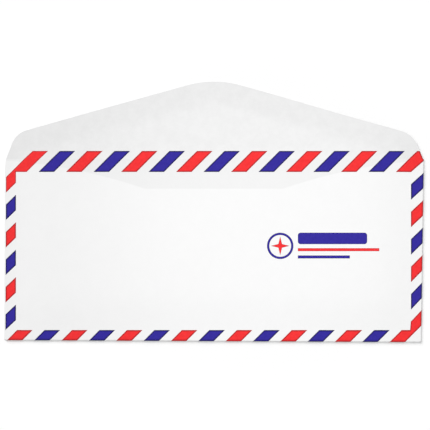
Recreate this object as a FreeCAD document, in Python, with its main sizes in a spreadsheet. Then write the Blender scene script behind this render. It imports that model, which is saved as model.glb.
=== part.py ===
import FreeCAD, Part
import os
import re
import Sketcher

# Long airmail envelope, lying face up with its flap open. All sizes are millimetres.
# It is one sheet of paper: a face panel, two side flaps folded in behind it, a bottom flap
# folded up over them and glued along two slanting seams, and a pointed closing flap.
# +X runs along the envelope, +Y towards the closing flap, +Z out of the printed face.
# The origin is on the back, below the middle of the face panel.
# The print is a thin film of ink on the face, and the gum a thin film inside the flap.

SIZES = {
    # face panel and the room between the two walls of the pocket
    "body_width": 241.3,
    "body_height": 104.775,
    "paper_thickness": 0.12,
    "pocket_gap": 0.8,
    # closing flap: two shoulders and a blunt point
    "flap_depth": 44.9,
    "shoulder_rise": 14.8,
    "shoulder_inset": 5.35,
    "shoulder_radius": 12.7,
    "point_radius": 56.0,
    # throat: the mouth of the pocket, a straight edge between two sloping ones
    "throat_depth": 17.2,
    "throat_width": 80.0,
    "throat_radius": 5.0,
    # flaps behind the face, and the notches cut where their folds meet
    "seam_lap": 12.0,
    "side_tip_radius": 4.0,
    "side_foot_radius": 6.0,
    "side_notch": 1.0,
    "corner_notch": 0.8,
    # gum inside the closing flap
    "gum_film": 0.02,
    "gum_margin": 1.5,
    "gum_width": 9.5,
    "gum_start": 5.0,
    # striped border, printed over the top fold and out to the right and bottom folds
    "ink_film": 0.02,
    "border_above_fold": 4.6,
    "border_below_fold": 7.5,
    "border_left_margin": 0.6,
    "border_left_width": 5.7,
    "border_right_width": 6.7,
    "border_bottom_width": 5.9,
    "stripe_width": 6.35,
    "stripe_spacing": 15.875,
    "stripe_lean": 45.0,
    "stripe_start": 15.56,
    # printed mark on the right of the face: a ringed star beside three bars
    "ring_from_right": 82.3,
    "ring_from_top": 50.2,
    "ring_radius": 7.6,
    "ring_line": 1.3,
    "star_reach": 5.4,
    "star_waist": 1.5,
    "bar_gap": 2.6,
    "wide_bar_length": 40.0,
    "wide_bar_width": 6.6,
    "wide_bar_radius": 1.6,
    "wide_bar_rise": 4.3,
    "long_bar_length": 47.0,
    "long_bar_width": 1.7,
    "long_bar_drop": 2.2,
    "short_bar_length": 30.0,
    "short_bar_width": 1.7,
    "short_bar_drop": 6.4,
    # paper beyond the cut outline in the stock that each panel is cut from
    "cutting_margin": 3.0,
}

# Heights above the table, and the lines where the flat panels run into their folds.
FACE_UNDER = "(2 * paper_thickness + pocket_gap)"
FACE_TOP = "(3 * paper_thickness + pocket_gap)"
INK_TOP = f"({FACE_TOP} + ink_film)"
BOTTOM_FOLD_RADIUS = f"({FACE_TOP} / 2)"
SIDE_FOLD_RADIUS = "(pocket_gap / 2 + paper_thickness)"
TOP_FOLD = "(body_height / 2)"
FACE_FOOT = f"({BOTTOM_FOLD_RADIUS} - body_height / 2)"
FACE_SIDE = f"(body_width / 2 - {SIDE_FOLD_RADIUS})"
NOTCHED_SIDE = "(body_width / 2 - corner_notch)"
THROAT_LINE = f"({TOP_FOLD} - throat_depth)"

# The open flap slopes from the fold down to the table at its point.
FLAP_SLOPE = f"({FACE_UNDER} / flap_depth)"
HALF_BEND = f"tan(atan({FLAP_SLOPE}) / 2)"
FLAP_SECANT = f"sqrt(1 + {FLAP_SLOPE} ^ 2)"

# Stock lengths that reach past the outlines.
ACROSS_STOCK = "(body_width + 2 * cutting_margin)"
ALONG_STOCK = "(body_height + 2 * cutting_margin)"
CUTTER_HEIGHT = f"(2 * ({FACE_TOP} + cutting_margin))"
FLAP_STOCK_END = f"({TOP_FOLD} + flap_depth + cutting_margin)"

STRIPE_COUNT = "(floor((body_width + body_height - stripe_start) / stripe_spacing) + 1)"

RING_ACROSS = "(body_width / 2 - ring_from_right)"
RING_ALONG = f"({TOP_FOLD} - ring_from_top)"
BARS_LEFT = f"({RING_ACROSS} + ring_radius + bar_gap)"

STAR_POINTS = 4


def bind(thing, field, formula):
    """Tie a field to a formula over the named sizes."""
    linked = re.sub(r"\b[a-z]+_[a-z_]+\b", r"Sizes.\g<0>", formula)
    thing.setExpression(field, linked)


def add_sizes(doc):
    """Write the named sizes into the document's sheet."""
    sheet = doc.addObject("Spreadsheet::Sheet", "Sizes")
    for row, (name, value) in enumerate(SIZES.items(), start=1):
        sheet.set(f"A{row}", name)
        sheet.set(f"B{row}", str(value))
        sheet.setAlias(f"B{row}", name)
    doc.recompute()


def add_sketch(body, role, name):
    """Empty sketch on one of the body's own origin planes."""
    plane = next(item for item in body.Origin.OriginFeatures if item.Role == role)
    sketch = body.newObject("Sketcher::SketchObject", name)
    sketch.AttachmentSupport = [(plane, "")]
    sketch.MapMode = "FlatFace"
    return sketch


def hold(sketch, constraint, formula=None):
    """Add a constraint, with its value tied to a formula where it has one."""
    number = sketch.addConstraint(constraint)
    if formula is not None:
        bind(sketch, f"Constraints[{number}]", formula)
    return number


def place_point(sketch, across, along):
    """Construction point held at two formulas."""
    point = sketch.addGeometry(Part.Point(FreeCAD.Vector(0, 0, 0)), True)
    hold(sketch, Sketcher.Constraint("DistanceX", -1, 1, point, 1, 1.0), across)
    hold(sketch, Sketcher.Constraint("DistanceY", -1, 1, point, 1, 1.0), along)
    return point


def free_point(sketch, spot):
    """Construction point that other constraints will hold."""
    return sketch.addGeometry(Part.Point(spot), True)


def spot_of(sketch, point):
    """Where a construction point stands."""
    geometry = sketch.Geometry[point]
    return FreeCAD.Vector(geometry.X, geometry.Y, 0)


def size_of(doc, name):
    """Value of one named size."""
    return float(getattr(doc.getObject("Sizes"), name))


def rounded_corner(before, corner, after, radius):
    """Ends and middle of the arc that rounds a corner, and whether it turns left."""
    back = (before - corner).normalize()
    onward = (after - corner).normalize()
    between = (back + onward).normalize()
    middle = corner + between * (radius / back.cross(between).Length)
    cut = (middle - corner).dot(back)
    turns_left = back.cross(onward).z < 0
    return corner + back * cut, corner + onward * cut, middle, turns_left


def add_outline(doc, sketch, corners):
    """Closed outline through construction points; a corner given a radius is rounded."""
    doc.recompute()
    spots = [spot_of(sketch, point) for point, _ in corners]
    count = len(corners)
    arrive = list(spots)
    leave = list(spots)
    arcs = [None] * count
    for index, (_, radius) in enumerate(corners):
        if radius is None:
            continue
        start, end, middle, left = rounded_corner(
            spots[index - 1], spots[index], spots[(index + 1) % count], size_of(doc, radius))
        arrive[index] = start
        leave[index] = end
        arcs[index] = (middle, left)
    edges = []
    for index in range(count):
        edges.append(sketch.addGeometry(
            Part.LineSegment(leave[index], arrive[(index + 1) % count]), False))
    rounds = []
    for index, (point, radius) in enumerate(corners):
        before = edges[index - 1]
        after = edges[index]
        if radius is None:
            hold(sketch, Sketcher.Constraint("Coincident", before, 2, after, 1))
            hold(sketch, Sketcher.Constraint("Coincident", after, 1, point, 1))
            rounds.append(None)
            continue
        middle, left = arcs[index]
        arc = add_arc(sketch, middle, arrive[index], leave[index], left)
        first, last = (1, 2) if left else (2, 1)
        hold(sketch, Sketcher.Constraint("Tangent", before, 2, arc, first))
        hold(sketch, Sketcher.Constraint("Tangent", arc, last, after, 1))
        hold(sketch, Sketcher.Constraint("PointOnObject", point, 1, before))
        hold(sketch, Sketcher.Constraint("PointOnObject", point, 1, after))
        hold(sketch, Sketcher.Constraint("Radius", arc, size_of(doc, radius)), radius)
        rounds.append(arc)
    return edges, rounds


def add_arc(sketch, middle, start, end, left):
    """Arc about a middle; one that turns right is drawn from its end to its start."""
    first, last = (start, end) if left else (end, start)
    circle = Part.Circle(middle, FreeCAD.Vector(0, 0, 1), (first - middle).Length)
    arc = Part.ArcOfCircle(circle, circle.parameter(first), circle.parameter(last))
    return sketch.addGeometry(arc, False)


def pad(body, sketch, length):
    """Solid of the given length, half of it on each side of the sketch."""
    feature = body.newObject("PartDesign::Pad", f"{body.Name}_pad")
    feature.Profile = sketch
    feature.SideType = "Symmetric"
    bind(feature, "Length", length)
    return feature


def add_polygon_body(doc, name, role, corners, length):
    """Body padded from one outline of (across, along, radius) corners."""
    body = doc.addObject("PartDesign::Body", name)
    sketch = add_sketch(body, role, f"{name}_outline")
    points = [(place_point(sketch, across, along), radius) for across, along, radius in corners]
    add_outline(doc, sketch, points)
    pad(body, sketch, length)
    return body


def common(doc, name, first, second):
    """What two solids share."""
    feature = doc.addObject("Part::Common", name)
    feature.Base = first
    feature.Tool = second
    return feature


def add_fold_section(doc, name, role, middle_across, middle_up, inner, thickness, reach, length):
    """Sheet turned through half a circle at its low end, with its lower run going to reach."""
    body = doc.addObject("PartDesign::Body", name)
    sketch = add_sketch(body, role, f"{name}_section")
    middle = place_point(sketch, middle_across, middle_up)
    inner_top = place_point(sketch, middle_across, f"{middle_up} + {inner}")
    outer_top = place_point(sketch, middle_across, f"{middle_up} + {inner} + {thickness}")
    inner_end = place_point(sketch, reach, f"{middle_up} - {inner}")
    outer_end = place_point(sketch, reach, f"{middle_up} - {inner} - {thickness}")
    doc.recompute()
    centre = spot_of(sketch, middle)
    runs = []
    arcs = []
    for top, end in ((inner_top, inner_end), (outer_top, outer_end)):
        start = spot_of(sketch, top)
        finish = centre * 2 - start
        arc = add_arc(sketch, centre, start, finish, True)
        run = sketch.addGeometry(Part.LineSegment(finish, spot_of(sketch, end)), False)
        hold(sketch, Sketcher.Constraint("Coincident", arc, 3, middle, 1))
        hold(sketch, Sketcher.Constraint("Coincident", arc, 1, top, 1))
        hold(sketch, Sketcher.Constraint("Tangent", arc, 2, run, 1))
        hold(sketch, Sketcher.Constraint("Coincident", run, 2, end, 1))
        arcs.append(arc)
        runs.append(run)
    for near, far, place in ((arcs[0], arcs[1], 1), (runs[0], runs[1], 2)):
        start = sketch.getPoint(near, place)
        finish = sketch.getPoint(far, place)
        cap = sketch.addGeometry(Part.LineSegment(start, finish), False)
        hold(sketch, Sketcher.Constraint("Coincident", cap, 1, near, place))
        hold(sketch, Sketcher.Constraint("Coincident", cap, 2, far, place))
    pad(body, sketch, length)
    return body


def add_face_and_flap(doc):
    """Face panel and closing flap: one strip of stock, creased at the fold, cut to outline."""
    section = add_polygon_body(doc, "face_stock", "YZ_Plane", [
        (f"{FACE_FOOT} - cutting_margin", FACE_UNDER, None),
        (TOP_FOLD, FACE_UNDER, None),
        (FLAP_STOCK_END, f"-cutting_margin * {FLAP_SLOPE}", None),
        (FLAP_STOCK_END, f"paper_thickness * {FLAP_SECANT} - cutting_margin * {FLAP_SLOPE}", None),
        (f"{TOP_FOLD} + paper_thickness * {HALF_BEND}", FACE_TOP, None),
        (f"{FACE_FOOT} - cutting_margin", FACE_TOP, None),
    ], ACROSS_STOCK)
    outline = add_face_outline(doc)
    return common(doc, "face_and_flap", section, outline), outline


def add_face_outline(doc):
    """Planform of the face panel with the flap's shoulders and blunt point."""
    body = doc.addObject("PartDesign::Body", "face_cut")
    sketch = add_sketch(body, "XY_Plane", "face_cut_outline")
    shoulder = "(body_width / 2 - shoulder_inset)"
    shoulder_line = f"({TOP_FOLD} + shoulder_rise)"
    foot_left = place_point(sketch, f"-{FACE_SIDE}", FACE_FOOT)
    foot_right = place_point(sketch, FACE_SIDE, FACE_FOOT)
    fold_right = place_point(sketch, FACE_SIDE, TOP_FOLD)
    shoulder_right = place_point(sketch, shoulder, shoulder_line)
    shoulder_left = place_point(sketch, f"-{shoulder}", shoulder_line)
    fold_left = place_point(sketch, f"-{FACE_SIDE}", TOP_FOLD)
    height = size_of(doc, "body_height") / 2 + size_of(doc, "flap_depth")
    peak = free_point(sketch, FreeCAD.Vector(0, height, 0))
    hold(sketch, Sketcher.Constraint("PointOnObject", peak, 1, -2))
    corners = [
        (foot_left, None),
        (foot_right, None),
        (fold_right, None),
        (shoulder_right, "shoulder_radius"),
        (peak, "point_radius"),
        (shoulder_left, "shoulder_radius"),
        (fold_left, None),
    ]
    _, rounds = add_outline(doc, sketch, corners)
    tip_arc = rounds[4]
    tip_middle = sketch.Geometry[tip_arc].Center.y
    hold(sketch, Sketcher.Constraint("DistanceY", -1, 1, tip_arc, 3, tip_middle),
         f"{TOP_FOLD} + flap_depth - point_radius")
    pad(body, sketch, CUTTER_HEIGHT)
    return body


def add_bottom_flap(doc):
    """Bottom flap: turned under the face at the bottom fold, narrowing to the throat."""
    stock = add_fold_section(
        doc, "bottom_stock", "YZ_Plane", FACE_FOOT, f"{FACE_TOP} / 2",
        "(pocket_gap + paper_thickness) / 2", "paper_thickness",
        f"{THROAT_LINE} + cutting_margin", ACROSS_STOCK)
    below = "-(body_height / 2 + cutting_margin)"
    cut = add_polygon_body(doc, "bottom_cut", "XY_Plane", [
        (f"-{NOTCHED_SIDE}", below, None),
        (NOTCHED_SIDE, below, None),
        (NOTCHED_SIDE, FACE_FOOT, None),
        ("throat_width / 2", THROAT_LINE, "throat_radius"),
        ("-throat_width / 2", THROAT_LINE, "throat_radius"),
        (f"-{NOTCHED_SIDE}", FACE_FOOT, None),
    ], CUTTER_HEIGHT)
    return common(doc, "bottom_flap", stock, cut)


def add_side_flap(doc):
    """Left side flap: turned in under the face, its tip lapping the bottom flap's edge."""
    stock = add_fold_section(
        doc, "side_stock", "XZ_Plane", f"-{FACE_SIDE}",
        "2 * paper_thickness + pocket_gap / 2", "pocket_gap / 2", "paper_thickness",
        "0", ALONG_STOCK)
    body = doc.addObject("PartDesign::Body", "side_cut")
    sketch = add_sketch(body, "XY_Plane", "side_cut_outline")
    outside = "-(body_width / 2 + cutting_margin)"
    top_line = f"{TOP_FOLD} - side_notch"
    foot_line = "corner_notch - body_height / 2"
    top_outside = place_point(sketch, outside, top_line)
    top_fold = place_point(sketch, f"-{FACE_SIDE}", top_line)
    foot_outside = place_point(sketch, outside, foot_line)
    throat_corner = place_point(sketch, "-throat_width / 2", THROAT_LINE)
    seam_foot = place_point(sketch, f"-{NOTCHED_SIDE}", FACE_FOOT)
    doc.recompute()
    seam_start = spot_of(sketch, seam_foot)
    seam_end = spot_of(sketch, throat_corner)
    seam = sketch.addGeometry(Part.LineSegment(seam_start, seam_end), True)
    hold(sketch, Sketcher.Constraint("Coincident", seam, 1, seam_foot, 1))
    hold(sketch, Sketcher.Constraint("Coincident", seam, 2, throat_corner, 1))
    run = (seam_end - seam_start).normalize()
    inward = FreeCAD.Vector(run.y, -run.x, 0) * size_of(doc, "seam_lap")
    tip = free_point(sketch, seam_end + inward)
    elbow = free_point(sketch, seam_start + inward)
    corners = [
        (top_outside, None),
        (foot_outside, None),
        (elbow, "side_foot_radius"),
        (tip, "side_tip_radius"),
        (top_fold, None),
    ]
    edges, _ = add_outline(doc, sketch, corners)
    _, foot_edge, seam_edge, throat_edge, _ = edges
    hold(sketch, Sketcher.Constraint("Horizontal", foot_edge))
    hold(sketch, Sketcher.Constraint("PointOnObject", throat_corner, 1, throat_edge))
    hold(sketch, Sketcher.Constraint("Parallel", seam_edge, seam))
    hold(sketch, Sketcher.Constraint("Distance", throat_corner, 1, seam_edge,
                                     size_of(doc, "seam_lap")), "seam_lap")
    pad(body, sketch, CUTTER_HEIGHT)
    return common(doc, "left_side_flap", stock, body)


def add_paper(doc):
    """The whole folded sheet, with its laps glued."""
    face, face_cut = add_face_and_flap(doc)
    bottom = add_bottom_flap(doc)
    left = add_side_flap(doc)
    right = doc.addObject("Part::Mirroring", "right_side_flap")
    right.Source = left
    right.Normal = FreeCAD.Vector(1, 0, 0)
    sheet = doc.addObject("Part::MultiFuse", "paper_sheet")
    sheet.Shapes = [face, bottom, left, right]
    sheet.Refine = True
    return sheet, face_cut


def add_gum(doc, face_cut):
    """Band of dry gum on the inner side of the flap, along its slanting edges."""
    start = f"({TOP_FOLD} + gum_start)"
    film = "gum_film * " + FLAP_SECANT
    under_start = f"({FACE_UNDER} - gum_start * {FLAP_SLOPE})"
    under_end = f"(-cutting_margin * {FLAP_SLOPE})"
    section = add_polygon_body(doc, "gum_stock", "YZ_Plane", [
        (start, under_start, None),
        (start, f"{under_start} - {film}", None),
        (FLAP_STOCK_END, f"{under_end} - {film}", None),
        (FLAP_STOCK_END, under_end, None),
    ], ACROSS_STOCK)
    sketch = face_cut.Group[0]
    outer = doc.addObject("Part::Offset2D", "gum_outer_edge")
    outer.Source = sketch
    bind(outer, "Value", "-gum_margin")
    band = doc.addObject("Part::Offset2D", "gum_band")
    band.Source = outer
    band.Fill = True
    bind(band, "Value", "-gum_width")
    block = doc.addObject("Part::Extrusion", "gum_cut")
    block.Base = band
    block.DirMode = "Custom"
    block.Dir = FreeCAD.Vector(0, 0, 1)
    block.Symmetric = True
    block.Solid = True
    bind(block, "LengthFwd", CUTTER_HEIGHT)
    return common(doc, "flap_gum", section, block)


def add_border_film(doc, face_cut):
    """Ink film over the whole border: a frame that runs up over the top fold."""
    upper_end = f"({TOP_FOLD} + border_above_fold)"
    drop_end = f"(border_above_fold * {FLAP_SLOPE})"
    under = f"({FACE_UNDER} + paper_thickness * {FLAP_SECANT} - {drop_end})"
    over = f"({FACE_UNDER} + (paper_thickness + ink_film) * {FLAP_SECANT} - {drop_end})"
    film = add_polygon_body(doc, "film_stock", "YZ_Plane", [
        (f"{FACE_FOOT} - cutting_margin", FACE_TOP, None),
        (f"{TOP_FOLD} + paper_thickness * {HALF_BEND}", FACE_TOP, None),
        (upper_end, under, None),
        (upper_end, over, None),
        (f"{TOP_FOLD} + (paper_thickness + ink_film) * {HALF_BEND}", INK_TOP, None),
        (f"{FACE_FOOT} - cutting_margin", INK_TOP, None),
    ], ACROSS_STOCK)
    sheet_film = common(doc, "face_film", film, face_cut)
    frame = doc.addObject("PartDesign::Body", "border_cut")
    sketch = add_sketch(frame, "XY_Plane", "border_cut_outline")
    left = "(border_left_margin - body_width / 2)"
    right = "(body_width / 2)"
    foot = "(-body_height / 2)"
    top = f"({upper_end} + cutting_margin)"
    window_left = f"({left} + border_left_width)"
    window_right = f"({right} - border_right_width)"
    window_foot = f"({foot} + border_bottom_width)"
    window_top = f"({TOP_FOLD} - border_below_fold)"
    for sides in ((left, right, foot, top), (window_left, window_right, window_foot, window_top)):
        add_rectangle(doc, sketch, *sides)
    pad(frame, sketch, CUTTER_HEIGHT)
    return common(doc, "border_film", sheet_film, frame)


def add_rectangle(doc, sketch, left, right, foot, top):
    """Rectangle between four formulas."""
    corners = [(left, foot), (right, foot), (right, top), (left, top)]
    add_outline(doc, sketch, [(place_point(sketch, *corner), None) for corner in corners])


def add_stripes(doc, name, film, first, count):
    """Every second bar of the border, cut out of the ink film."""
    body = doc.addObject("PartDesign::Body", f"{name}_hatch")
    sketch = add_sketch(body, "XY_Plane", f"{name}_bar")
    foot = "(-body_height / 2 - cutting_margin)"
    top = f"({TOP_FOLD} + border_above_fold + cutting_margin)"
    half = "stripe_width / 2 / sin(stripe_lean)"
    start = f"(stripe_start + {first} * stripe_spacing - body_width / 2)"
    corners = []
    for line, side in ((foot, "-"), (foot, "+"), (top, "+"), (top, "-")):
        across = f"{start} + ({line} - {TOP_FOLD}) / tan(stripe_lean) {side} {half}"
        corners.append((place_point(sketch, across, line), None))
    add_outline(doc, sketch, corners)
    bar = pad(body, sketch, CUTTER_HEIGHT)
    doc.recompute()
    rows = body.newObject("PartDesign::LinearPattern", f"{name}_bars")
    rows.Originals = [bar]
    rows.Direction = (sketch, ["H_Axis"])
    rows.Mode = "Spacing"
    bind(rows, "Offset", "2 * stripe_spacing")
    bind(rows, "Occurrences", count)
    body.Tip = rows
    return common(doc, name, film, body)


def add_disc(doc, name, radius):
    """Round field of ink on the face at the ring's place."""
    disc = doc.addObject("Part::Cylinder", name)
    bind(disc, "Radius", radius)
    bind(disc, "Height", "ink_film")
    bind(disc, "Placement.Base.x", RING_ACROSS)
    bind(disc, "Placement.Base.y", RING_ALONG)
    bind(disc, "Placement.Base.z", FACE_TOP)
    return disc


def add_bar(doc, name, length, width, middle_line, corner_radius=None):
    """Plain bar of ink that starts beside the ring."""
    foot = f"{middle_line} - {width} / 2"
    top = f"{middle_line} + {width} / 2"
    body = add_polygon_body(doc, name, "XY_Plane", [
        (BARS_LEFT, foot, corner_radius),
        (f"{BARS_LEFT} + {length}", foot, corner_radius),
        (f"{BARS_LEFT} + {length}", top, corner_radius),
        (BARS_LEFT, top, corner_radius),
    ], "ink_film")
    bind(body, "Placement.Base.z", f"{FACE_TOP} + ink_film / 2")
    return body


def add_star(doc):
    """Four-pointed star inside the ring."""
    corners = []
    for turn in range(2 * STAR_POINTS):
        reach = "star_reach" if turn % 2 == 0 else "star_waist"
        angle = 180 * turn / STAR_POINTS
        corners.append((f"{RING_ACROSS} + {reach} * cos({angle})",
                        f"{RING_ALONG} + {reach} * sin({angle})", None))
    body = add_polygon_body(doc, "mark_star", "XY_Plane", corners, "ink_film")
    bind(body, "Placement.Base.z", f"{FACE_TOP} + ink_film / 2")
    return body


def add_marks(doc):
    """Printed mark: blue ring with a wide and a short bar, red star with a long bar."""
    ring = doc.addObject("Part::Cut", "mark_ring")
    ring.Base = add_disc(doc, "ring_field", "ring_radius")
    ring.Tool = add_disc(doc, "ring_window", "ring_radius - ring_line")
    wide = add_bar(doc, "mark_wide_bar", "wide_bar_length", "wide_bar_width",
                   f"{RING_ALONG} + wide_bar_rise", "wide_bar_radius")
    long = add_bar(doc, "mark_long_bar", "long_bar_length", "long_bar_width",
                   f"{RING_ALONG} - long_bar_drop")
    short = add_bar(doc, "mark_short_bar", "short_bar_length", "short_bar_width",
                    f"{RING_ALONG} - short_bar_drop")
    blue = doc.addObject("Part::Compound", "blue_mark_print")
    blue.Links = [ring, wide, short]
    red = doc.addObject("Part::Compound", "red_mark_print")
    red.Links = [add_star(doc), long]
    return [blue, red]


def check_document(doc):
    """Stop if any object failed to build."""
    for item in doc.Objects:
        if "Invalid" in item.State or "Error" in item.State:
            raise RuntimeError(f"{item.Name} failed: {item.State}")


def write_pieces(pieces):
    """Check each piece's solids and write its file."""
    os.makedirs("parts", exist_ok=True)
    for piece in pieces:
        shape = piece.Shape
        if shape.isNull() or not shape.isValid() or not shape.Solids:
            raise RuntimeError(f"{piece.Label} has no sound solid")
        print(piece.Label, len(shape.Solids), "solids", round(shape.Volume, 4), "mm3",
              shape.BoundBox)
    for piece in pieces:
        piece.Shape.exportStep(f"parts/{piece.Label}.step")


def main():
    doc = FreeCAD.newDocument("airmail_envelope")
    add_sizes(doc)
    paper, face_cut = add_paper(doc)
    gum = add_gum(doc, face_cut)
    film = add_border_film(doc, face_cut)
    red_border = add_stripes(doc, "red_border_print", film, "0", f"ceil({STRIPE_COUNT} / 2)")
    blue_border = add_stripes(doc, "blue_border_print", film, "1", f"floor({STRIPE_COUNT} / 2)")
    pieces = [paper, gum, red_border, blue_border, *add_marks(doc)]
    doc.recompute()
    check_document(doc)
    write_pieces(pieces)


main()
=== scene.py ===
"""Airmail envelope: the looks of a long commercial envelope that lies face up with its flap open."""

import math

import bmesh
import bpy
import numpy as np
from bpy.props import FloatProperty, FloatVectorProperty, PointerProperty
from bpy.types import Operator, Panel, PropertyGroup
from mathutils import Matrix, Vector
from mathutils.geometry import intersect_point_line


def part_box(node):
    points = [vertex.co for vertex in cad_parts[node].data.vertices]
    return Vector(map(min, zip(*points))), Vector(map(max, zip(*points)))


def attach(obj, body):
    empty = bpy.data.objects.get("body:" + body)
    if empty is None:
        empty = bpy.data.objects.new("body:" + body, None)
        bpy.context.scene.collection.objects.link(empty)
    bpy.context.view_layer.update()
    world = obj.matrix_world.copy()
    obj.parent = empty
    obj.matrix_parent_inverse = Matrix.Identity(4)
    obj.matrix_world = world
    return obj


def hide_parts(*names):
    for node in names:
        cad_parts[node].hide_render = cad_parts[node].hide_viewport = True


bl_info = {
    "name": "Airmail Envelope",
    "version": (1, 0, 0),
    "blender": (4, 5, 0),
    "location": "View3D > Sidebar > Envelope",
    "description": "Dresses a folded paper envelope with wove paper, gum and striped print",
    "category": "Object",
}

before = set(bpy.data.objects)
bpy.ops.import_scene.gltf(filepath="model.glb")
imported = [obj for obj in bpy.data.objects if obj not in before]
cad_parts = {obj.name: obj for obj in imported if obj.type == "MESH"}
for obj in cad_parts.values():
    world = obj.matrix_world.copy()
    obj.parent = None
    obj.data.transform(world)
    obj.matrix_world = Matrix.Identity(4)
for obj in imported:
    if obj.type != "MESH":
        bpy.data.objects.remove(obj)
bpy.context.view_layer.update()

MM = 0.001

# Places on the folded sheet, from the frame. The face looks up, and the flap points along +Y.
SHEET_LOW, SHEET_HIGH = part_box("paper_sheet")
HALF_WIDTH = SHEET_HIGH.x
BOTTOM_EDGE = SHEET_LOW.y
CREASE = -SHEET_LOW.y
FLAP_TIP = SHEET_HIGH.y
FACE_TOP = SHEET_HIGH.z
PAPER_THICKNESS = 0.12 * MM

# The turn of each fold: its outer radius, which is also how far its centre lies inside the edge.
# The bottom flap lies outside the side flaps, so the bottom turn is the larger one.
BOTTOM_TURN = FACE_TOP / 2
SIDE_TURN = (FACE_TOP - PAPER_THICKNESS) / 2
BOTTOM_TANGENT = BOTTOM_EDGE + BOTTOM_TURN
RIGHT_TANGENT = HALF_WIDTH - SIDE_TURN
MID_POCKET = FACE_TOP / 2

# Straight lines of the sheet's outline, in millimetres: the flap's shoulders and the back's throat.
SHOULDER_X = 115.3
SHOULDER_Y = 67.19
TIP_Y = 97.29
THROAT_Y = 35.19
THROAT_HALF = 40.0
SIDE_FLAP_TOP = 51.39
SIDE_FLAP_X = 120.13
SIDE_FLAP_SLOPE = (SIDE_FLAP_TOP - THROAT_Y) / (SIDE_FLAP_X - THROAT_HALF)

# How far below the side flaps' slanting top edges their bow still shows.
THROAT_REACH = 14 * MM

# The plain field inside the printed border.
FIELD_LEFT = -114.35 * MM
FIELD_RIGHT = 113.95 * MM
FIELD_LOW = -46.4875 * MM

# The outer ends of the left bars, which stop just short of the fold.
BARS_LEFT = -120.05 * MM

# Where the flap's right slope and left shoulder, which are cut askew, begin to leave their true
# places, and from where on they are off in full. Along the sides this change takes SIDE_RUN.
SLOPE_START = 30 * MM
SLOPE_FULL = 75 * MM
SHOULDER_START = 80 * MM
SHOULDER_FULL = 110 * MM
SIDE_RUN = 6 * MM
FLAP_PRINT_TOP = CREASE + 5 * MM

# Slow waves of the paper: radians for each millimetre across and up, and radians at the middle.
COCKLES = ((0.061, 0.023, 0.4), (-0.037, 0.071, 1.9), (0.018, -0.104, 4.1), (0.112, 0.049, 2.7))

# The share of the flap's depth over which its side edges come to wave like its middle.
FLAP_WAVES_START = 1 / 6

# Points closer than TOUCH count as one place, and ink closer than AT_FOLD reaches a fold. Corners
# closer than MERGE are joined, and level sides of a border bar shorter than SHORT_SIDE are drawn
# together.
TOUCH = 1e-6
AT_FOLD = 1e-5
MERGE = 5e-6
SHORT_SIDE = 0.3 * MM

# Faces that meet at less than FLAT_ANGLE become one, and edges above SHARP_ANGLE stay sharp. A face
# looks up when its normal's height is more than LOOKS_UP.
FLAT_ANGLE = math.radians(0.4)
SHARP_ANGLE = math.radians(35)
LOOKS_UP = 0.9

# How many cuts lie on each side of the crease, and in the ink that rolls round a fold.
CREASE_CUTS = 3
FOLD_CUTS = 8

# The inks, and the vertex layer that marks their darker rims. RIM_SHARE is the widest that a rim may
# be, as a share of the shape's narrowest place.
HUES = ("red", "blue")
RIM_LAYER = "rim"
RIM_SHARE = 0.35

# The photograph's camera looks straight down on VIEW_CENTRE, and its picture spans VIEW_SPAN there.
VIEW_CENTRE = (0.7 * MM, 20.0 * MM)
VIEW_SPAN = 248.5 * MM
LENS = 85.0
SENSOR = 36.0

# The floor, and the key light's place and breadth.
FLOOR_SIZE = 6.0
FLOOR_COLOUR = (0.95, 0.95, 0.95)
KEY_PLACE = Vector((-1.0, 1.3, 1.0))
KEY_BREADTH = math.radians(35)

# The soft pool of light over the face: its middle, its reach, and its lamp's height and radius.
POOL_MIDDLE = Vector((31 * MM, 19 * MM, 0.0))
POOL_REACH = Vector((144 * MM, 145 * MM, 1.0))
POOL_HEIGHT = 0.9
POOL_LAMP_RADIUS = 0.05


class EnvelopeRelief(PropertyGroup):
    """How far the sheet stands off flat."""

    crown: FloatProperty(
        name="Crown",
        description="Rise of the face's middle above its folds",
        default=0.5 * MM,
        min=0.0,
        max=2 * MM,
        unit="LENGTH",
        precision=5,
    )
    crown_run: FloatProperty(
        name="Crown run",
        description="Distance from a fold over which the face rises",
        default=26 * MM,
        min=5 * MM,
        max=50 * MM,
        unit="LENGTH",
        precision=4,
    )
    mouth_share: FloatProperty(
        name="Mouth share",
        description="Share of the crown that is left at the flap's crease",
        default=0.7,
        min=0.0,
        max=1.0,
        subtype="FACTOR",
    )
    cockle: FloatProperty(
        name="Cockle",
        description="Height of the slow waves in the paper",
        default=0.07 * MM,
        min=0.0,
        max=0.3 * MM,
        unit="LENGTH",
        precision=5,
    )
    crease_ridge: FloatProperty(
        name="Crease ridge",
        description="Height of the sharp ridge that the opened flap leaves along its crease",
        default=0.12 * MM,
        min=0.0,
        max=0.5 * MM,
        unit="LENGTH",
        precision=5,
    )
    crease_run: FloatProperty(
        name="Crease run",
        description="Distance from the crease at which its ridge has mostly died away",
        default=2.5 * MM,
        min=0.5 * MM,
        max=10 * MM,
        unit="LENGTH",
        precision=4,
    )
    grid: FloatProperty(
        name="Grid",
        description="Spacing of the cuts that let the flat faces bend",
        default=3 * MM,
        min=1 * MM,
        max=10 * MM,
        unit="LENGTH",
        precision=4,
    )


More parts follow.
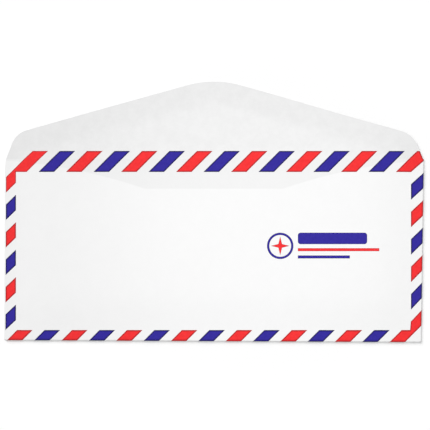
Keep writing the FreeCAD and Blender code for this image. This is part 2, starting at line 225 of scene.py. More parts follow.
class EnvelopeFolds(PropertyGroup):
    """How far the folds and the flap's cut run off true."""

    bottom_slip: FloatProperty(
        name="Bottom slip",
        description="Distance by which the bottom fold's right end lies too low",
        default=1.2 * MM,
        min=-2 * MM,
        max=2 * MM,
        unit="LENGTH",
        precision=5,
    )
    right_slip: FloatProperty(
        name="Right slip",
        description="Distance by which the right fold's upper end lies too far out",
        default=0.8 * MM,
        min=-2 * MM,
        max=2 * MM,
        unit="LENGTH",
        precision=5,
    )
    right_draw: FloatProperty(
        name="Right draw",
        description="Distance by which the right fold's lower end lies too far in",
        default=0.7 * MM,
        min=-2 * MM,
        max=2 * MM,
        unit="LENGTH",
        precision=5,
    )
    left_slip: FloatProperty(
        name="Left slip",
        description="Distance by which the left fold's lower end lies too far out",
        default=0.4 * MM,
        min=-2 * MM,
        max=2 * MM,
        unit="LENGTH",
        precision=5,
    )
    left_margin: FloatProperty(
        name="Left margin",
        description="Width of bare paper that the left fold's place adds outside the bars",
        default=0.6 * MM,
        min=0.0,
        max=2 * MM,
        unit="LENGTH",
        precision=5,
    )
    strip_draw: FloatProperty(
        name="Strip draw",
        description="Distance by which the bottom strip of bars is printed too far left",
        default=0.5 * MM,
        min=-1 * MM,
        max=1 * MM,
        unit="LENGTH",
        precision=5,
    )
    slope_drop: FloatProperty(
        name="Slope drop",
        description="Distance by which the flap's right slope is cut too low",
        default=0.55 * MM,
        min=-2 * MM,
        max=2 * MM,
        unit="LENGTH",
        precision=5,
    )
    shoulder_draw: FloatProperty(
        name="Shoulder draw",
        description="Distance by which the flap's left shoulder is cut too far in",
        default=0.5 * MM,
        min=-2 * MM,
        max=2 * MM,
        unit="LENGTH",
        precision=5,
    )
    throat_bow: FloatProperty(
        name="Throat bow",
        description="Rise of the side flaps' slanting top edges above a straight line",
        default=2.8 * MM,
        min=0.0,
        max=3 * MM,
        unit="LENGTH",
        precision=5,
    )


class EnvelopePaper(PropertyGroup):
    """The wove paper."""

    colour: FloatVectorProperty(
        name="Paper",
        description="Colour of the face, where the back flaps lie behind it",
        default=(0.95, 0.95, 0.95),
        min=0.0,
        max=1.0,
        size=3,
        subtype="COLOR",
    )
    # The throat is darker, partly for its thinner paper and partly from painted shade of the pocket behind
    # it.
    throat_tone_and_shade: FloatProperty(
        name="Throat tone",
        description="Brightness of the face where no back flap lies behind it",
        default=0.945,
        min=0.5,
        max=1.0,
        subtype="FACTOR",
    )
    # The flap is darker, partly for its single layer of paper and partly from painted shade of the table
    # beneath it.
    flap_tone_and_shade: FloatProperty(
        name="Flap tone",
        description="Brightness of the single layer of the flap",
        default=0.921,
        min=0.5,
        max=1.0,
        subtype="FACTOR",
    )
    gum_tone: FloatProperty(
        name="Gum tone",
        description="Brightness of the flap where dry gum shows through, against the rest of the flap",
        default=0.965,
        min=0.5,
        max=1.0,
        subtype="FACTOR",
    )


class EnvelopePrint(PropertyGroup):
    """The two printing inks."""

    red: FloatVectorProperty(
        name="Red ink",
        description="Colour of the red bars and marks",
        default=(0.945, 0.034, 0.037),
        min=0.0,
        max=1.0,
        size=3,
        subtype="COLOR",
    )
    blue: FloatVectorProperty(
        name="Blue ink",
        description="Colour of the blue bars and marks",
        default=(0.034, 0.024, 0.33),
        min=0.0,
        max=1.0,
        size=3,
        subtype="COLOR",
    )
    border_rim: FloatProperty(
        name="Border rim",
        description="Width of the darker line where the plate squeezes ink to the edge of a border bar",
        default=1.05 * MM,
        min=0.05 * MM,
        max=1.5 * MM,
        unit="LENGTH",
        precision=5,
    )
    mark_rim: FloatProperty(
        name="Mark rim",
        description="Width of the same darker line in the finer shapes of the mark",
        default=0.35 * MM,
        min=0.05 * MM,
        max=0.4 * MM,
        unit="LENGTH",
        precision=5,
    )
    red_rim_tone: FloatProperty(
        name="Red rim tone",
        description="Brightness of the red ink at the very edge of a shape, against its middle",
        default=0.45,
        min=0.1,
        max=1.0,
        subtype="FACTOR",
    )
    blue_rim_tone: FloatProperty(
        name="Blue rim tone",
        description="Brightness of the blue ink at the very edge of a shape, against its middle",
        default=0.22,
        min=0.1,
        max=1.0,
        subtype="FACTOR",
    )
    bleed: FloatProperty(
        name="Bleed",
        description="Length of print that runs on round a fold",
        default=1.2 * MM,
        min=0.0,
        max=1.5 * MM,
        unit="LENGTH",
        precision=4,
    )


class EnvelopeGum(PropertyGroup):
    """The dry gum on the flap's inner side."""

    colour: FloatVectorProperty(
        name="Gum",
        description="Colour of the dry gum",
        default=(0.80, 0.77, 0.66),
        min=0.0,
        max=1.0,
        size=3,
        subtype="COLOR",
    )


class EnvelopeStage(PropertyGroup):
    """Floor, light and camera. A share of 1 alone would render a white level surface as white."""

    sky_share: FloatProperty(
        name="Sky share",
        description="Part of the light that comes evenly from all round",
        default=0.48,
        min=0.0,
        max=1.0,
        subtype="FACTOR",
    )
    key_share: FloatProperty(
        name="Key share",
        description="Part of the light that comes from the upper left and casts the soft shadow",
        default=0.437,
        min=0.0,
        max=1.0,
        subtype="FACTOR",
    )
    pool_share: FloatProperty(
        name="Pool share",
        description="Part of the light at the middle of the soft pool over the face",
        default=0.109,
        min=0.0,
        max=1.0,
        subtype="FACTOR",
    )
    floor_glow: FloatProperty(
        name="Floor glow",
        description="Light added to the floor for the camera, so that it shows white with a shadow",
        default=0.14,
        min=0.0,
        max=1.0,
        subtype="FACTOR",
    )


SETTINGS = {
    "envelope_relief": EnvelopeRelief,
    "envelope_folds": EnvelopeFolds,
    "envelope_paper": EnvelopePaper,
    "envelope_print": EnvelopePrint,
    "envelope_gum": EnvelopeGum,
    "envelope_stage": EnvelopeStage,
}


def ease(share):
    """A smooth step: 0 below 0, 1 above 1, level at both ends."""
    held = np.clip(share, 0.0, 1.0)
    return held * held * (3 - 2 * held)


def way(place, start, end):
    """The share of the way from start to end that a place has come, kept from 0 to 1."""
    return np.clip((place - start) / (end - start), 0.0, 1.0)


def cockles(x, y):
    """Slow waves of the paper, from -1 to 1, added at slants that never line up."""
    waves = [np.sin((across * x + up * y) / MM + middle) for across, up, middle in COCKLES]
    return sum(waves) / len(waves)


def relief(points, settings):
    """Height added to each point of the sheet or of what lies on it."""
    x, y, z = points.T
    across = ease((RIGHT_TANGENT - abs(x)) / settings.crown_run)
    face_rise = across * ease((y - BOTTOM_TANGENT) / settings.crown_run)
    mouth = 1 - (1 - settings.mouth_share) * ease(y / CREASE)
    ridge = settings.crease_ridge * np.exp(-abs(y - CREASE) / settings.crease_run)
    waves = settings.cockle * cockles(x, y)
    face = face_rise * (settings.crown * mouth + waves)
    down_flap = way(y, CREASE, FLAP_TIP)
    flap = across * (1 - ease(down_flap)) * settings.crown * settings.mouth_share
    flap += waves * (1 - down_flap) * (across + ease(down_flap / FLAP_WAVES_START))
    on_flap = y > CREASE
    on_back = ~on_flap & (z < MID_POCKET)
    height = np.where(on_flap, flap, face) + ridge * across
    return np.where(on_back, 0.0, height)


def slips(points, settings):
    """Sideways and upward shift of each point, because the folds and the flap's cut run askew."""
    x, y, z = points.T
    down = way(y, CREASE, -CREASE)
    lean = settings.right_slip - (settings.right_slip + settings.right_draw) * down
    sideways = way(x, FIELD_RIGHT, RIGHT_TANGENT) * lean * (1 - way(y, CREASE, SHOULDER_Y * MM))
    sideways -= way(x, FIELD_LEFT, -RIGHT_TANGENT) * settings.left_slip * down
    past_bars = way(x, BARS_LEFT, -RIGHT_TANGENT)
    sideways -= past_bars * settings.left_margin * way(y, CREASE, CREASE - SIDE_RUN)
    left_shoulder = way(-x, SHOULDER_START, SHOULDER_FULL)
    sideways += left_shoulder * settings.shoulder_draw * way(y, CREASE, CREASE + SIDE_RUN)
    below = way(y, FIELD_LOW, BOTTOM_TANGENT)
    upward = -below * settings.bottom_slip * way(x, -HALF_WIDTH, HALF_WIDTH)
    right_slope = way(x, SLOPE_START, SLOPE_FULL)
    upward -= right_slope * settings.slope_drop * way(y, FLAP_PRINT_TOP, SHOULDER_Y * MM)
    on_back = (y < CREASE) & (z < MID_POCKET)
    upward += np.where(on_back, throat_lift(abs(x), y, settings.throat_bow), 0.0)
    return sideways, upward


def strip_slip(points, draw):
    """Leftward shift of the bottom strip's print, fading at its left end and in the right corner."""
    x, y, z = points.T
    left_end = way(x, BARS_LEFT, BARS_LEFT + SIDE_RUN)
    corner = way(y, FIELD_LOW + SIDE_RUN, FIELD_LOW) * way(x, RIGHT_TANGENT, FIELD_RIGHT)
    return draw * left_end * np.where(x < FIELD_RIGHT - TOUCH, y < FIELD_LOW + TOUCH, corner)


def throat_lift(across, y, bow):
    """Upward shift of the back's layers, so that the side flaps' slanting top edges bow."""
    outside = np.maximum(across - THROAT_HALF * MM, 0.0)
    below_edge = THROAT_Y * MM + SIDE_FLAP_SLOPE * outside - y
    share = way(across, THROAT_HALF * MM, RIGHT_TANGENT)
    return bow * 4 * share * (1 - share) * ease(1 - below_edge / THROAT_REACH)


def node_copy(name, node):
    """A new piece that starts from a CAD node's own mesh, with its split corners joined."""
    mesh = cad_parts[node].data.copy()
    mesh.materials.clear()
    kept_normals = mesh.attributes.get("custom_normal")
    if kept_normals is not None:
        mesh.attributes.remove(kept_normals)
    piece = bpy.data.objects.new(name, mesh)
    bpy.context.scene.collection.objects.link(piece)
    shape = bmesh.new()
    shape.from_mesh(mesh)
    bmesh.ops.remove_doubles(shape, verts=shape.verts, dist=MERGE)
    bmesh.ops.dissolve_limit(shape, angle_limit=FLAT_ANGLE, verts=shape.verts, edges=shape.edges)
    return piece, shape


def cut_at(shape, axis, places):
    """Edges across the shape at each place along an axis, 0 for X and 1 for Y."""
    normal = Vector((1, 0, 0)) if axis == 0 else Vector((0, 1, 0))
    for place in places:
        near = [f for f in shape.faces if spans(f, axis, place)]
        edges = {e for f in near for e in f.edges}
        corners = {v for f in near for v in f.verts}
        bmesh.ops.bisect_plane(
            shape,
            geom=[*corners, *edges, *near],
            plane_co=normal * place,
            plane_no=normal,
            dist=TOUCH,
        )


def spans(face, axis, place):
    """Whether a face lies on both sides of a place along an axis."""
    along = [v.co[axis] for v in face.verts]
    return min(along) < place - TOUCH and max(along) > place + TOUCH


def cut_grid(shape, settings):
    """Cuts every step along X and Y, along the printed field, and closely along the flap's crease."""
    cut_at(shape, 0, [FIELD_LEFT, FIELD_RIGHT])
    cut_at(shape, 1, [FIELD_LOW])
    step = settings.grid
    for axis in (0, 1):
        along = [v.co[axis] for v in shape.verts]
        first = math.ceil(min(along) / step)
        last = math.floor(max(along) / step)
        cut_at(shape, axis, [number * step for number in range(first, last + 1)])
    strips = range(-CREASE_CUTS, CREASE_CUTS + 1)
    cut_at(shape, 1, [CREASE + settings.crease_run * number / CREASE_CUTS for number in strips])


def finish_piece(context, piece, shape, material, node, printed=False):
    """Bends the shape to the sheet's relief and folds, and makes it the piece that stands for a node."""
    many = [f for f in shape.faces if len(f.verts) > 4]
    bmesh.ops.triangulate(shape, faces=many)
    shape.to_mesh(piece.data)
    shape.free()
    points = np.empty(len(piece.data.vertices) * 3)
    piece.data.vertices.foreach_get("co", points)
    points = points.reshape(-1, 3)
    lift = relief(points, context.scene.envelope_relief)
    folds = context.scene.envelope_folds
    sideways, upward = slips(points, folds)
    if printed:
        sideways += upward - strip_slip(points, folds.strip_draw)
    points += np.stack((sideways, upward, lift), axis=1)
    piece.data.vertices.foreach_set("co", points.ravel())
    piece.data.shade_smooth()
    piece.data.set_sharp_from_angle(angle=SHARP_ANGLE)
    piece.data.materials.append(material)
    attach(piece, "root")
    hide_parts(node)


class Shader:
    """A material's nodes, added and linked by short calls."""

    def __init__(self, name):
        self.material = bpy.data.materials.new(name)
        self.material.use_nodes = True
        self.tree = self.material.node_tree
        self.tree.nodes.clear()

    def feed(self, socket, value):
        """Gives a socket a link or a plain value."""
        if isinstance(value, bpy.types.NodeSocket):
            self.tree.links.new(value, socket)
        else:
            socket.default_value = value

    def node(self, kind, inputs=None, **settings):
        """One node with its settings and inputs."""
        made = self.tree.nodes.new(kind)
        for key, value in settings.items():
            setattr(made, key, value)
        for key, value in (inputs or {}).items():
            self.feed(made.inputs[key], value)
        return made

    def maths(self, operation, first, second=0.0, third=0.0):
        """A number worked out from one to three others."""
        inputs = {0: first, 1: second, 2: third}
        return self.node("ShaderNodeMath", inputs, operation=operation).outputs[0]

    def product(self, first, *others):
        """Numbers multiplied together."""
        for other in others:
            first = self.maths("MULTIPLY", first, other)
        return first

    def vectors(self, operation, first, second):
        """The outputs of a sum, product or the like of two points."""
        return self.node("ShaderNodeVectorMath", {0: first, 1: second}, operation=operation).outputs

    def scaled(self, vector, factor):
        """A point or a colour multiplied by a number."""
        inputs = {0: vector, "Scale": factor}
        return self.node("ShaderNodeVectorMath", inputs, operation="SCALE").outputs[0]

    def step(self, value, low, high, start=0.0, end=1.0):
        """A smooth change from start to end as a value goes from low to high."""
        inputs = {"Value": value, "From Min": low, "From Max": high, "To Min": start, "To Max": end}
        return self.node("ShaderNodeMapRange", inputs, interpolation_type="SMOOTHSTEP").outputs["Result"]

    def noise(self, place, size, detail=2.0, roughness=0.5):
        """Noise whose blotches are about size millimetres across, mostly from 0.3 to 0.7."""
        inputs = {"Vector": place, "Scale": 1 / size, "Detail": detail, "Roughness": roughness}
        return self.node("ShaderNodeTexNoise", inputs).outputs["Fac"]

    def place(self):
        """The point's place on the object, in millimetres."""
        return self.scaled(self.node("ShaderNodeTexCoord").outputs["Object"], 1 / MM)

    def strands(self, place, length, width, turn):
        """Noise drawn out along a direction, to fibres or streaks of a length and a width."""
        turned = self.node("ShaderNodeVectorRotate", {"Vector": place, "Angle": turn}).outputs[0]
        drawn_out = self.vectors("MULTIPLY", turned, (1 / length, 1 / width, 1.0))["Vector"]
        return self.noise(drawn_out, 1.0, detail=3.0, roughness=0.6)

    def mixed(self, share, first, second):
        """One colour passing into another."""
        return self.node("ShaderNodeMix", {0: share, 6: first, 7: second}, data_type="RGBA").outputs[2]

    def mixed_number(self, share, first, second):
        """One number passing into another."""
        return self.node("ShaderNodeMix", {0: share, 2: first, 3: second}, data_type="FLOAT").outputs[0]

    def bump(self, height, depth, before=None):
        """A surface normal from a height of 0 to 1 that stands for a depth in metres."""
        inputs = {"Height": height, "Distance": depth, "Strength": 1.0}
        if before is not None:
            inputs["Normal"] = before
        return self.node("ShaderNodeBump", inputs).outputs["Normal"]

    def surface(self, inputs):
        """The finished shader."""
        shader = self.node("ShaderNodeBsdfPrincipled", inputs)
        output = self.node("ShaderNodeOutputMaterial")
        self.tree.links.new(shader.outputs["BSDF"], output.inputs["Surface"])
        return self.material


# The finishes. In what follows, sizes, lengths, widths, blurs and the gum's values are in millimetres,
# depths are in metres, and turns are in radians. NOISE_SPAN is where noise mostly lies, and the pairs
# after it hold a tone or a roughness for low and for high noise.
NOISE_SPAN = (0.3, 0.7)

FIBRE_TURNS = (0.3, 1.4, 2.5)
FIBRE_LENGTH = 1.6
FIBRE_WIDTH = 0.16
FIBRE_SPAN = (0.35, 0.65)
FIBRE_TONES = (0.995, 1.003)
FIBRE_DEPTH = 0.035 * MM

CLOUD_SIZE = 7.0
FINE_CLOUD_SIZE = 2.2
FINE_CLOUD_SHARE = 0.35
CLOUD_TONES = (0.992, 1.004)
CLOUD_DEPTH = 0.05 * MM
FLAP_CLOUD_SPAN = (0.34, 0.66)
FLAP_CLOUD_TONE = 0.012
LAYER_BLUR = 0.6
CREASE_BLUR = 0.4
PAPER_ROUGHNESS = (0.92, 0.78)
PAPER_SHEEN = 0.2

GUM_CORNER = 6.0
GUM_BLOTCH_SIZE = 9.0
GUM_BLOTCH_REACH = 11.0
GUM_FADE = (12.5, 23.0)
GUM_ROUGHNESS = (0.2, 0.34)
GUM_SHEEN = 0.5
STREAK_LENGTH = 9.0
STREAK_WIDTH = 0.7
STREAK_TURN = 0.25
STREAK_TONES = (0.93, 1.03)
STREAK_DEPTH = 0.03 * MM
BUBBLES_PER_MM = 0.9
BUBBLE_SPAN = (0.02, 0.12)
BUBBLE_TONES = (0.9, 1.0)
BUBBLE_DEPTH = 0.02 * MM

INK_BLOTCH_SIZE = 1.8
INK_TONES = (0.95, 1.05)
INK_DEPTH = 0.02 * MM
INK_ROUGHNESS = (0.62, 0.48)
INK_SHEEN = 0.12
RIM_FULL = 0.85
FLECK_SIZE = 0.28
FLECK_SPAN = (0.68, 0.8)
FLECK_SHARE = 0.2
FLECK_COLOUR = (0.9, 0.88, 0.9, 1.0)


def fibres(shader, place):
    """Matted fibres of wove paper, from 0 to 1: fine strands in three directions."""
    total = 0.0
    for turn in FIBRE_TURNS:
        total = shader.maths("ADD", total, shader.strands(place, FIBRE_LENGTH, FIBRE_WIDTH, turn))
    return shader.maths("DIVIDE", total, len(FIBRE_TURNS))


def formation(shader, place):
    """Cloudy formation of the pulp, from 0 to 1: wide clouds with finer ones in them."""
    wide = shader.noise(place, CLOUD_SIZE, detail=3.0, roughness=0.55)
    fine = shader.noise(place, FINE_CLOUD_SIZE, detail=2.0, roughness=0.6)
    wide_part = shader.maths("MULTIPLY", wide, 1 - FINE_CLOUD_SHARE)
    return shader.maths("ADD", wide_part, shader.maths("MULTIPLY", fine, FINE_CLOUD_SHARE))


def beyond_back(shader, across, up, bow):
    """From 0 to 1 past the top of the back's layers: the throat and the side flaps' bowed slopes."""
    outside = shader.maths("MAXIMUM", shader.maths("SUBTRACT", across, THROAT_HALF), 0.0)
    share = shader.maths("DIVIDE", outside, RIGHT_TANGENT / MM - THROAT_HALF)
    bowed = shader.maths("MULTIPLY", share, shader.maths("SUBTRACT", 1.0, share))
    throat = shader.maths("MULTIPLY_ADD", bowed, 4 * bow / MM, THROAT_Y)
    top = shader.maths("MULTIPLY_ADD", outside, SIDE_FLAP_SLOPE, throat)
    return shader.step(shader.maths("SUBTRACT", up, top), -LAYER_BLUR, LAYER_BLUR)


def from_edge(shader, across, up):
    """Distance in millimetres from the flap's slanting and side edges, inwards."""
    run = Vector((SHOULDER_X, TIP_Y - SHOULDER_Y)).normalized()
    slant_x = shader.maths("MULTIPLY", across, run.y)
    slant_y = shader.maths("MULTIPLY", shader.maths("SUBTRACT", TIP_Y, up), run.x)
    slant = shader.maths("SUBTRACT", slant_y, slant_x)
    side_run = Vector((HALF_WIDTH / MM - SHOULDER_X, SHOULDER_Y - CREASE / MM)).normalized()
    side_x = shader.maths("MULTIPLY", shader.maths("SUBTRACT", SHOULDER_X, across), side_run.y)
    side_y = shader.maths("MULTIPLY", shader.maths("SUBTRACT", SHOULDER_Y, up), side_run.x)
    side = shader.maths("ADD", side_x, side_y)
    return shader.maths("SMOOTH_MIN", slant, side, GUM_CORNER)


def gum_shadow(shader, place, across, up):
    """From 0 to 1 where gum shows through the flap: a ragged band along its edges."""
    blotches = shader.noise(place, GUM_BLOTCH_SIZE, detail=4.0, roughness=0.65)
    ragged = shader.maths("MULTIPLY_ADD", blotches, GUM_BLOTCH_REACH, from_edge(shader, across, up))
    return shader.step(ragged, *GUM_FADE, 1.0, 0.0)


def paper_material(settings, throat_bow):
    """Wove paper: matted fibres, cloudy formation, the layers behind it showing through, and painted shade
    from beneath where fewer layers lie, in the throat and on the flap.
    """
    shader = Shader("wove_paper")
    place = shader.place()
    parts = shader.node("ShaderNodeSeparateXYZ", {0: place}).outputs
    across = shader.maths("ABSOLUTE", parts["X"])
    up = parts["Y"]
    clouds = formation(shader, place)
    strands = fibres(shader, place)
    past_back = beyond_back(shader, across, up, throat_bow)
    on_flap = shader.step(up, CREASE / MM - CREASE_BLUR, CREASE / MM + CREASE_BLUR)
    gum = shader.maths("MULTIPLY", gum_shadow(shader, place, across, up), on_flap)

    # The flap's clouds about its tone, darker than the face: partly the single layer of paper, partly
    # painted shade from the table beneath.
    flap_tones_and_shade = (settings.flap_tone_and_shade - FLAP_CLOUD_TONE, settings.flap_tone_and_shade + FLAP_CLOUD_TONE)
    shaded_flap_clouds = shader.step(clouds, *FLAP_CLOUD_SPAN, *flap_tones_and_shade)
    flap_tone_and_shade = shader.maths("DIVIDE", shaded_flap_clouds, settings.throat_tone_and_shade)
    tone = shader.product(
        shader.step(clouds, *NOISE_SPAN, *CLOUD_TONES),
        # Darker past the top of the back's layers: partly the thinner paper, partly painted shade from the
        # pocket showing through.
        shader.step(past_back, 0.0, 1.0, 1.0, settings.throat_tone_and_shade),
        shader.mixed_number(on_flap, 1.0, flap_tone_and_shade),
        shader.step(gum, 0.0, 1.0, 1.0, settings.gum_tone),
        shader.step(strands, *FIBRE_SPAN, *FIBRE_TONES),
    )
    felt = shader.bump(strands, FIBRE_DEPTH)
    return shader.surface({
        "Base Color": shader.scaled(tuple(settings.colour), tone),
        "Roughness": shader.step(strands, *NOISE_SPAN, *PAPER_ROUGHNESS),
        "Specular IOR Level": PAPER_SHEEN,
        "Normal": shader.bump(clouds, CLOUD_DEPTH, felt),
    })


def ink_material(name, colour, rim_tone):
    """Ink laid on wove paper by a soft plate: flecks between fibres, uneven depth, a darker rim."""
    shader = Shader(name)
    place = shader.place()
    depth = shader.noise(place, INK_BLOTCH_SIZE, detail=3.0, roughness=0.6)
    specks = shader.noise(place, FLECK_SIZE, detail=2.0, roughness=0.6)
    flecks = shader.step(specks, *FLECK_SPAN, 0.0, FLECK_SHARE)
    rim = shader.node("ShaderNodeAttribute", attribute_name=RIM_LAYER).outputs["Fac"]
    tone = shader.product(
        shader.step(depth, *NOISE_SPAN, *INK_TONES),
        shader.step(rim, 0.0, RIM_FULL, 1.0, rim_tone),
    )
    return shader.surface({
        "Base Color": shader.mixed(flecks, shader.scaled(tuple(colour), tone), FLECK_COLOUR),
        "Roughness": shader.step(depth, *NOISE_SPAN, *INK_ROUGHNESS),
        "Specular IOR Level": INK_SHEEN,
        "Normal": shader.bump(fibres(shader, place), INK_DEPTH),
    })


def gum_material(settings):
    """Dry remoistening gum: a glossy film with brush streaks and small bubbles."""
    shader = Shader("dry_gum")
    place = shader.place()
    streaks = shader.strands(place, STREAK_LENGTH, STREAK_WIDTH, STREAK_TURN)
    cells = shader.node("ShaderNodeTexVoronoi", {"Vector": place, "Scale": BUBBLES_PER_MM})
    bubbles = cells.outputs["Distance"]
    tone = shader.product(
        shader.step(streaks, *NOISE_SPAN, *STREAK_TONES),
        shader.step(bubbles, *BUBBLE_SPAN, *BUBBLE_TONES),
    )
    raised = shader.bump(streaks, STREAK_DEPTH)
    return shader.surface({
        "Base Color": shader.scaled(tuple(settings.colour), tone),
        "Roughness": shader.step(streaks, *NOISE_SPAN, *GUM_ROUGHNESS),
        "Specular IOR Level": GUM_SHEEN,
        "Normal": shader.bump(bubbles, BUBBLE_DEPTH, raised),
    })


def run_print_on(shape, bleed):
    """Draws the bars at the bottom and right folds out along their slant, and rolls them round."""
    for vert in shape.verts:
        at = vert.co
        if at.y < BOTTOM_TANGENT + AT_FOLD:
            at.x = max(at.x - bleed, BARS_LEFT)
            at.y -= bleed
        elif at.x > RIGHT_TANGENT - AT_FOLD and at.y < CREASE - bleed:
            at.x += bleed
            at.y += bleed
    runs = [bleed * number / FOLD_CUTS for number in range(FOLD_CUTS)]
    cut_at(shape, 1, [BOTTOM_TANGENT - run for run in runs])
    cut_at(shape, 0, [RIGHT_TANGENT + run for run in runs])
    for vert in shape.verts:
        at = vert.co
        film = at.z - FACE_TOP
        if at.y < BOTTOM_TANGENT:
            angle = (BOTTOM_TANGENT - at.y) / BOTTOM_TURN
            radius = BOTTOM_TURN + film
            at.y = BOTTOM_TANGENT - radius * math.sin(angle)
            at.z = FACE_TOP - BOTTOM_TURN + radius * math.cos(angle)
        elif at.x > RIGHT_TANGENT and at.y < CREASE:
            angle = (at.x - RIGHT_TANGENT) / SIDE_TURN
            radius = SIDE_TURN + film
            at.x = RIGHT_TANGENT + radius * math.sin(angle)
            at.z = FACE_TOP - SIDE_TURN + radius * math.cos(angle)


def islands(faces):
    """Groups of faces that join along their edges."""
    left = set(faces)
    while left:
        group = {left.pop()}
        fresh = set(group)
        while fresh:
            fresh = {g for f in fresh for e in f.edges for g in e.link_faces} & left
            group |= fresh
            left -= fresh
        yield list(group)


def least_width(outline):
    """The narrowest place of a shape, from a corner of its outline to a side across from it."""
    least = math.inf
    for corner in {v for e in outline for v in e.verts}:
        for edge in outline:
            if corner not in edge.verts:
                foot, share = intersect_point_line(corner.co, edge.verts[0].co, edge.verts[1].co)
                if 0 < share < 1:
                    least = min(least, (corner.co - foot).length)
    return least


def add_rim(shape, width):
    """A narrow band inside each inked shape's edge, marked for the darker rim."""
    rim = shape.verts.layers.float.new(RIM_LAYER)
    tops = [f for f in shape.faces if f.normal.z > LOOKS_UP]
    for group in list(islands(tops)):
        edges = {e for f in group for e in f.edges}
        outline = {e for e in edges if any(f.normal.z < LOOKS_UP for f in e.link_faces)}
        for vert in {v for e in outline for v in e.verts}:
            vert[rim] = 1.0
        band = min(width, RIM_SHARE * least_width(outline))
        bmesh.ops.inset_region(shape, faces=group, thickness=band, use_boundary=True, use_even_offset=True)
        for vert in {v for f in group for v in f.verts}:
            vert[rim] = 0.0


def draw_together(shape):
    """Draws short level sides together, so that a bar has no slivers of an outline."""
    short = [e for e in shape.edges if e.calc_length() < SHORT_SIDE]
    level = [e for e in short if e.verts[0].co.xy != e.verts[1].co.xy]
    bmesh.ops.collapse(shape, edges=level)


def plate_ink(settings, hue):
    """The material of the red or blue ink, made once and used by border and mark."""
    name = "plate_ink_" + hue
    rim_tone = getattr(settings, hue + "_rim_tone")
    return bpy.data.materials.get(name) or ink_material(name, getattr(settings, hue), rim_tone)


def print_piece(context, hue, part):
    """One colour of the border or the mark, with its rim, bent to the sheet."""
    settings = context.scene.envelope_print
    node = f"{hue}_{part}_print"
    over_folds = part == "border"
    piece, shape = node_copy(f"{hue}_{part}_ink", node)
    if over_folds:
        draw_together(shape)
    add_rim(shape, getattr(settings, part + "_rim"))
    if over_folds:
        run_print_on(shape, settings.bleed)
    cut_grid(shape, context.scene.envelope_relief)
    finish_piece(context, piece, shape, plate_ink(settings, hue), node, printed=True)


class ENVELOPE_OT_paper(Operator):
    """Lay down the folded sheet in wove paper"""

    bl_idname = "envelope.paper"
    bl_label = "Paper sheet"

    def execute(self, context):
        piece, shape = node_copy("paper_body", "paper_sheet")
        cut_grid(shape, context.scene.envelope_relief)
        material = paper_material(context.scene.envelope_paper, context.scene.envelope_folds.throat_bow)
        finish_piece(context, piece, shape, material, "paper_sheet")
        return {"FINISHED"}


class ENVELOPE_OT_gum(Operator):
    """Brush the dry gum along the flap's inner side"""

    bl_idname = "envelope.gum"
    bl_label = "Flap gum"

    def execute(self, context):
        piece, shape = node_copy("gum_band", "flap_gum")
        cut_grid(shape, context.scene.envelope_relief)
        material = gum_material(context.scene.envelope_gum)
        finish_piece(context, piece, shape, material, "flap_gum")
        return {"FINISHED"}


class ENVELOPE_OT_border(Operator):
    """Print the slanting red and blue bars round the face"""

    bl_idname = "envelope.border"
    bl_label = "Striped border"

    def execute(self, context):
        for hue in HUES:
            print_piece(context, hue, "border")
        return {"FINISHED"}


class ENVELOPE_OT_mark(Operator):
    """Print the ringed star and its bars"""

    bl_idname = "envelope.mark"
    bl_label = "Printed mark"

    def execute(self, context):
        for hue in HUES:
            print_piece(context, hue, "mark")
        return {"FINISHED"}


def floor_material(settings):
    """White paper sweep that shows white to the camera and keeps the object's shadow."""
    shader = Shader("sweep")
    plain = settings.sky_share + settings.key_share
    from_pool = shader.vectors("SUBTRACT", shader.place(), POOL_MIDDLE / MM)["Vector"]
    stretch = (MM / POOL_REACH.x, MM / POOL_REACH.y, 0.0)
    run = shader.vectors("MULTIPLY", from_pool, stretch)["Vector"]
    square = shader.vectors("DOT_PRODUCT", run, run)["Value"]
    evened = shader.step(square, 0.0, 1.0, plain / (plain + settings.pool_share), 1.0)
    diffuse = shader.node("ShaderNodeBsdfDiffuse", {"Color": shader.scaled(FLOOR_COLOUR, evened)})
    path = shader.node("ShaderNodeLightPath").outputs
    seen = shader.maths("MAXIMUM", path["Is Camera Ray"], path["Is Glossy Ray"])
    seen = shader.maths("MAXIMUM", seen, path["Is Transmission Ray"])
    strength = shader.maths("MULTIPLY", seen, settings.floor_glow)
    glow = shader.node("ShaderNodeEmission", {"Strength": strength})
    both = shader.node("ShaderNodeAddShader", {0: diffuse.outputs[0], 1: glow.outputs[0]})
    output = shader.node("ShaderNodeOutputMaterial")
    shader.tree.links.new(both.outputs[0], output.inputs["Surface"])
    return shader.material


def add_floor(context, settings):
    """A wide level floor under the envelope."""
    shape = bmesh.new()
    bmesh.ops.create_grid(shape, x_segments=2, y_segments=2, size=FLOOR_SIZE / 2)
    mesh = bpy.data.meshes.new("floor")
    shape.to_mesh(mesh)
    shape.free()
    floor = bpy.data.objects.new("floor", mesh)
    floor.location.z = SHEET_LOW.z
    mesh.materials.append(floor_material(settings))
    context.scene.collection.objects.link(floor)


def add_lamp(context, kind, place, target):
    """A lamp that stands at a place and looks at a target."""
    data = bpy.data.lights.new(kind.lower() + "_lamp", kind)
    lamp = bpy.data.objects.new(data.name, data)
    lamp.location = place
    lamp.rotation_euler = (Vector(target) - Vector(place)).to_track_quat("-Z", "Y").to_euler()
    context.scene.collection.objects.link(lamp)
    return data


def add_lamps(context, settings):
    """A soft key from the upper left and a soft pool over the face."""
    key = add_lamp(context, "SUN", KEY_PLACE, (0, 0, 0))
    key.angle = KEY_BREADTH
    key.energy = settings.key_share * math.pi / KEY_PLACE.normalized().z
    pool = add_lamp(context, "SPOT", POOL_MIDDLE + Vector((0, 0, POOL_HEIGHT)), POOL_MIDDLE)
    pool.spot_size = 2 * math.atan(POOL_REACH.x / POOL_HEIGHT)
    pool.spot_blend = 1.0
    pool.shadow_soft_size = POOL_LAMP_RADIUS
    context.scene.objects[pool.name].scale.y = POOL_REACH.y / POOL_REACH.x
    pool.energy = settings.pool_share * 4 * math.pi ** 2 * POOL_HEIGHT ** 2


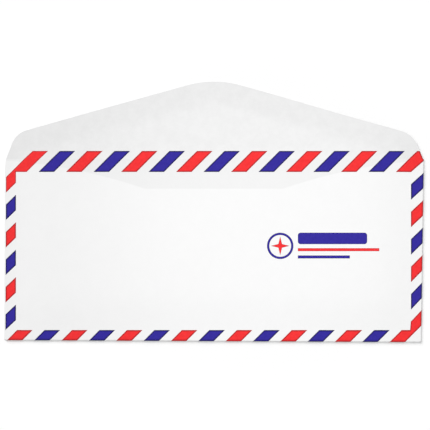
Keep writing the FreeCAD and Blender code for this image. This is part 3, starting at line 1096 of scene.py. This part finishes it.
def add_sky(context, settings):
    """Even light from all round, which the camera and reflections see as white."""
    world = bpy.data.worlds.new("studio")
    world.use_nodes = True
    tree = world.node_tree
    tree.nodes.clear()
    path = tree.nodes.new("ShaderNodeLightPath")
    seen = tree.nodes.new("ShaderNodeMath")
    seen.operation = "MAXIMUM"
    tree.links.new(path.outputs["Is Camera Ray"], seen.inputs[0])
    tree.links.new(path.outputs["Is Glossy Ray"], seen.inputs[1])
    level = tree.nodes.new("ShaderNodeMapRange")
    tree.links.new(seen.outputs[0], level.inputs["Value"])
    level.inputs["To Min"].default_value = settings.sky_share
    level.inputs["To Max"].default_value = 1.0
    sky = tree.nodes.new("ShaderNodeBackground")
    sky.inputs["Color"].default_value = (1, 1, 1, 1)
    tree.links.new(level.outputs["Result"], sky.inputs["Strength"])
    output = tree.nodes.new("ShaderNodeOutputWorld")
    tree.links.new(sky.outputs[0], output.inputs["Surface"])
    context.scene.world = world


def add_camera(context):
    """The photograph's camera, straight above the envelope."""
    data = bpy.data.cameras.new("photo_camera")
    data.lens = LENS
    data.sensor_width = SENSOR
    camera = bpy.data.objects.new("photo_camera", data)
    height = VIEW_SPAN * LENS / SENSOR
    camera.location = (VIEW_CENTRE[0], VIEW_CENTRE[1], FACE_TOP + height)
    context.scene.collection.objects.link(camera)
    context.scene.camera = camera


class ENVELOPE_OT_stage(Operator):
    """Set the floor, the lights and the camera"""

    bl_idname = "envelope.stage"
    bl_label = "Studio stage"

    def execute(self, context):
        settings = context.scene.envelope_stage
        add_floor(context, settings)
        add_lamps(context, settings)
        add_sky(context, settings)
        add_camera(context)
        context.scene.view_settings.view_transform = "Standard"
        return {"FINISHED"}


OPERATORS = (ENVELOPE_OT_paper, ENVELOPE_OT_gum, ENVELOPE_OT_border, ENVELOPE_OT_mark, ENVELOPE_OT_stage)


class VIEW3D_PT_envelope(Panel):
    """The envelope's steps and sizes"""

    bl_label = "Airmail Envelope"
    bl_space_type = "VIEW_3D"
    bl_region_type = "UI"
    bl_category = "Envelope"

    def draw(self, context):
        for operator in OPERATORS:
            self.layout.operator(operator.bl_idname)
        for name, group in SETTINGS.items():
            box = self.layout.box()
            box.label(text=group.__doc__)
            for key in group.__annotations__:
                box.prop(getattr(context.scene, name), key)


CLASSES = (*SETTINGS.values(), *OPERATORS, VIEW3D_PT_envelope)


def register():
    for item in CLASSES:
        bpy.utils.register_class(item)
    for name, group in SETTINGS.items():
        setattr(bpy.types.Scene, name, PointerProperty(type=group))


def unregister():
    for name in SETTINGS:
        delattr(bpy.types.Scene, name)
    for item in reversed(CLASSES):
        bpy.utils.unregister_class(item)


def main():
    register()
    bpy.ops.envelope.paper()
    bpy.ops.envelope.gum()
    bpy.ops.envelope.border()
    bpy.ops.envelope.mark()
    bpy.ops.envelope.stage()


if __name__ == "__main__":
    main()
